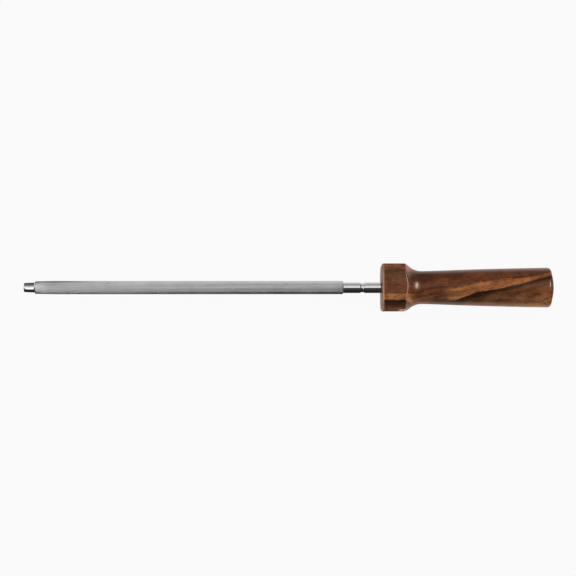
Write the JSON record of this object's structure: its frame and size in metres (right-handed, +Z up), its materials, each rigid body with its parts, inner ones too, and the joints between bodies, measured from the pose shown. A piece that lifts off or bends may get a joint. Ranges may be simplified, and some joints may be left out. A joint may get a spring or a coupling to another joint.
{
  "type": "knife sharpening steel",
  "caption": "Butcher's honing steel: a round ribbed rod with a polished tip and grooved neck in a one-piece turned wooden handle with an octagonal guard.",
  "frame": {"origin": "half way along the steel, under its axis, on the plane of the guard's lower flat", "axes": "+X along the axis from the tip towards the handle's butt, +Z up through the guard's upper flat, +Y to the side"},
  "size_m": [0.381, 0.033, 0.033],
  "materials": {
    "walnut": "oiled walnut, satin gloss",
    "ribbed_steel": "fine lengthwise ribs, satin",
    "polished_steel": "mirror polished",
    "neck_steel": "mirror polished, turned",
    "brass": "as turned, hidden",
    "epoxy": "cured adhesive, hidden"
  },
  "bodies": {
    "root": {"walnut_handle": "walnut", "ribbed_rod": "ribbed_steel", "tip_pin": "polished_steel", "neck_ferrule": "neck_steel", "threaded_insert": "brass", "epoxy_bond": "epoxy"}
  },
  "joints": []
}
